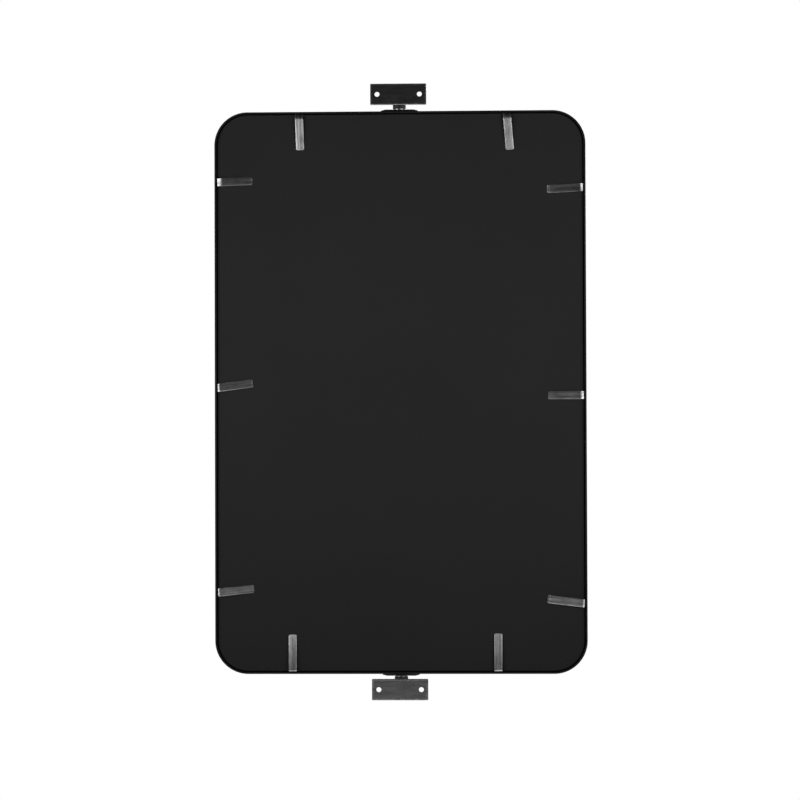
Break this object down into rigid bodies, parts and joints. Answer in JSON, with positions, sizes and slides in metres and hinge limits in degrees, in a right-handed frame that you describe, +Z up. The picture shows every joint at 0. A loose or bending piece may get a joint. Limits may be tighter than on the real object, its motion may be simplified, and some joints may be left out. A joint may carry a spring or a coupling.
{
  "type": "swivel wall mirror",
  "caption": "Rounded rectangular mirror in a slim black metal frame, held from behind by bent steel tabs, that swivels between wall brackets above and below it.",
  "frame": {"origin": "centre of the top wall plate's wall face, midway between its screw holes", "axes": "+Z up, +Y from the wall into the room, +X to the right for somebody looking at the mirror's back; the wall is the plane Y = 0"},
  "size_m": [0.604, 0.0805, 0.988],
  "materials": {
    "frame_black": "satin",
    "mirror_silver": "polished",
    "liner_foam": "matte",
    "board_black": "matte",
    "tab_steel": "satin",
    "bracket_black": "satin",
    "washer_steel": "satin",
    "bolt_black": "satin"
  },
  "bodies": {
    "wall_brackets": {"wall_plate_top": "bracket_black", "bracket_arm_top": "bracket_black", "pivot_barrel_top": "bracket_black", "wall_plate_bottom": "bracket_black", "bracket_arm_bottom": "bracket_black", "pivot_barrel_bottom": "bracket_black"},
    "mirror": {"frame": "frame_black", "mirror_glass": "mirror_silver", "foam_liner": "liner_foam", "backboard": "board_black", "tab_left_upper": "tab_steel", "tab_left_middle": "tab_steel", "tab_left_lower": "tab_steel", "tab_right_upper": "tab_steel", "tab_right_middle": "tab_steel", "tab_right_lower": "tab_steel", "tab_top_left": "tab_steel", "tab_top_right": "tab_steel", "tab_bottom_left": "tab_steel", "tab_bottom_right": "tab_steel", "foot_plate_top": "frame_black", "base_washer_top": "washer_steel", "spring_washer_top": "washer_steel", "pivot_bolt_top": "bolt_black", "foot_plate_bottom": "frame_black", "base_washer_bottom": "washer_steel", "spring_washer_bottom": "washer_steel", "pivot_bolt_bottom": "bolt_black"}
  },
  "joints": [
    {"name": "mirror_swivel", "type": "hinge", "parent": "wall_brackets", "child": "mirror", "pos_m": [0, 0.068, 0], "axis": [0, 0, 1], "range_deg": [-10, 10]}
  ]
}
